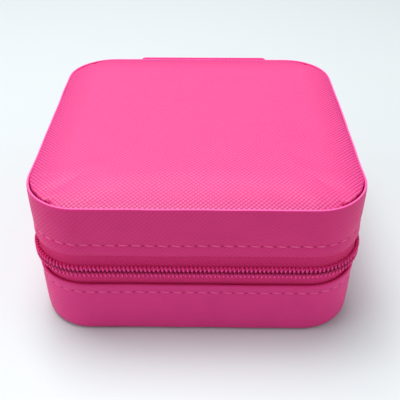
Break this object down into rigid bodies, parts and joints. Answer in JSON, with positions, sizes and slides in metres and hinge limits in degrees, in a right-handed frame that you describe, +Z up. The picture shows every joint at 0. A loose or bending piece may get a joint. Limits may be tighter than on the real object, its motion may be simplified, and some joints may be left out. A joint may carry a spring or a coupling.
{
  "type": "travel jewelry case",
  "caption": "Small square zip-round jewelry case with a padded hinged lid, velvet ring rolls, compartments with lift-out dividers, snap necklace tabs and a lid pocket.",
  "frame": {"origin": "centre of the underside panel that the case stands on", "axes": "+Z up through the lid, -Y towards the zipped front, +Y towards the hinge strap, +X towards the side where the closed slider is parked"},
  "size_m": [0.1058, 0.1022, 0.0486],
  "materials": {
    "saffiano_leathercloth": "bright pink cross-grain embossed coated leathercloth, satin",
    "stiff_board": "uncoated greyboard",
    "foam": "soft sheet foam",
    "zipper_tape": "crimson woven polyester tape",
    "nylon_coil": "crimson nylon monofilament coil",
    "zipper_metal": "zinc casting with pale gold plating",
    "snap_metal": "pale gold-plated brass",
    "elastic": "ribbed pink elastic",
    "velvet": "pink velvet pile over card and foam"
  },
  "bodies": {
    "base": {"base_bottom_cover": "saffiano_leathercloth", "base_bottom_board": "stiff_board", "base_frame": "stiff_board", "base_side_cover": "saffiano_leathercloth", "base_lining": "velvet", "partition": "velvet", "slotted_strip": "velvet", "ring_roll_1": "velvet", "ring_roll_2": "velvet", "ring_roll_3": "velvet", "ring_roll_4": "velvet", "ring_roll_5": "velvet", "ring_roll_6": "velvet", "ring_roll_7": "velvet", "lower_zipper_tape": "zipper_tape", "lower_zipper_coil": "nylon_coil", "lower_top_stop": "zipper_metal", "lower_hinge_strap": "saffiano_leathercloth", "lower_hinge_lining": "velvet"},
    "lid": {"lid_frame": "stiff_board", "lid_side_cover": "saffiano_leathercloth", "lid_top_board": "stiff_board", "lid_foam_pad": "foam", "lid_top_cover": "saffiano_leathercloth", "lid_lining": "velvet", "tab_strip": "velvet", "snap_stud_1": "snap_metal", "snap_stud_2": "snap_metal", "snap_stud_3": "snap_metal", "lid_pocket": "velvet", "pocket_elastic": "elastic", "upper_zipper_tape": "zipper_tape", "upper_zipper_coil": "nylon_coil", "upper_top_stop": "zipper_metal", "upper_hinge_strap": "saffiano_leathercloth", "upper_hinge_lining": "velvet"},
    "slider": {"slider_body": "zipper_metal"},
    "pull": {"pull_tab": "zipper_metal"},
    "front_divider": {"front_divider": "velvet"},
    "rear_divider": {"rear_divider": "velvet"},
    "necklace_tab_1": {"necklace_tab_1": "velvet", "snap_cap_1": "snap_metal"},
    "necklace_tab_2": {"necklace_tab_2": "velvet", "snap_cap_2": "snap_metal"},
    "necklace_tab_3": {"necklace_tab_3": "velvet", "snap_cap_3": "snap_metal"}
  },
  "joints": [
    {"name": "lid_hinge", "type": "hinge", "parent": "base", "child": "lid", "pos_m": [0, 0.0512, 0.0255], "axis": [-1, 0, 0], "range_deg": [0, 110]},
    {"name": "slider_run", "type": "slide", "parent": "base", "child": "slider", "axis": [0, -1, 0], "range_m": [0, 0.054], "deforming": ["lower_zipper_coil", "upper_zipper_coil"]},
    {"name": "pull_swing", "type": "hinge", "parent": "slider", "child": "pull", "pos_m": [0.05325, 0.0246, 0.0255], "axis": [0, 0, 1], "range_deg": [0, 180]},
    {"name": "front_divider_lift", "type": "slide", "parent": "base", "child": "front_divider", "axis": [0, 0, 1], "range_m": [0, 0.017]},
    {"name": "rear_divider_lift", "type": "slide", "parent": "base", "child": "rear_divider", "axis": [0, 0, 1], "range_m": [0, 0.017]},
    {"name": "necklace_tab_1_flip", "type": "hinge", "parent": "lid", "child": "necklace_tab_1", "pos_m": [-0.025, -0.0362, 0.0407], "axis": [-1, 0, 0], "range_deg": [0, 90]},
    {"name": "necklace_tab_2_flip", "type": "hinge", "parent": "lid", "child": "necklace_tab_2", "pos_m": [0, -0.0362, 0.0407], "axis": [-1, 0, 0], "range_deg": [0, 90]},
    {"name": "necklace_tab_3_flip", "type": "hinge", "parent": "lid", "child": "necklace_tab_3", "pos_m": [0.025, -0.0362, 0.0407], "axis": [-1, 0, 0], "range_deg": [0, 90]}
  ]
}
